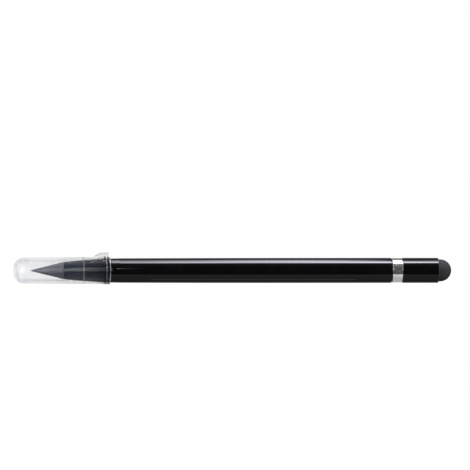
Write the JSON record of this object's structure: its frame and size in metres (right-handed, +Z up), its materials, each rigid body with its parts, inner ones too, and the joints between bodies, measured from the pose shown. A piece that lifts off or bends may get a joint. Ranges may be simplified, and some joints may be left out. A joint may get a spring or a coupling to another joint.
{
  "type": "inkless stylus pen",
  "caption": "Slim round pen with a screw-in graphite nib, a clear push-on cap with a roll-stop lug, a chrome ring and a soft stylus dome at the tail.",
  "frame": {"origin": "on the surface the pen lies on, midway between the cap's nose and the stylus's end, under the pen's axis", "axes": "+X from the nib to the stylus along the pen, +Z up towards the cap's roll-stop lug"},
  "size_m": [0.1432, 0.009, 0.0104],
  "materials": {
    "clear_plastic": "clear glossy moulding, faintly milky",
    "graphite": "dark grey graphite composite with a soft metallic sheen",
    "steel": "machined",
    "brass": "machined",
    "black_lacquer": "high-gloss black lacquer over aluminium",
    "dark_plastic": "moulded",
    "chrome": "mirror bright",
    "silicone": "matt silicone"
  },
  "bodies": {
    "barrel": {"barrel": "black_lacquer", "nose_bush": "brass", "joint_plug": "dark_plastic", "tail_ring": "chrome", "tail_sleeve": "black_lacquer", "stylus_seat": "dark_plastic", "stylus_dome": "silicone"},
    "cap": {"cap": "clear_plastic"},
    "nib_stud": {"nib_stud": "steel"},
    "nib": {"nib": "graphite"}
  },
  "joints": [
    {"name": "cap_pull", "type": "slide", "parent": "barrel", "child": "cap", "axis": [-1, 0, 0], "range_m": [0, 0.035]},
    {"name": "nib_advance", "type": "slide", "parent": "barrel", "child": "nib_stud", "axis": [-1, 0, 0], "range_m": [0, 0.004]},
    {"name": "nib_unscrew", "type": "hinge", "parent": "nib_stud", "child": "nib", "pos_m": [-0.05532, 0, 0.00451], "axis": [-1, 0, 0], "range_deg": [0, 2880]}
  ],
  "couplings": [
    {"joint": "nib_unscrew", "follows": "nib_advance", "rad_per_m": 12566}
  ]
}
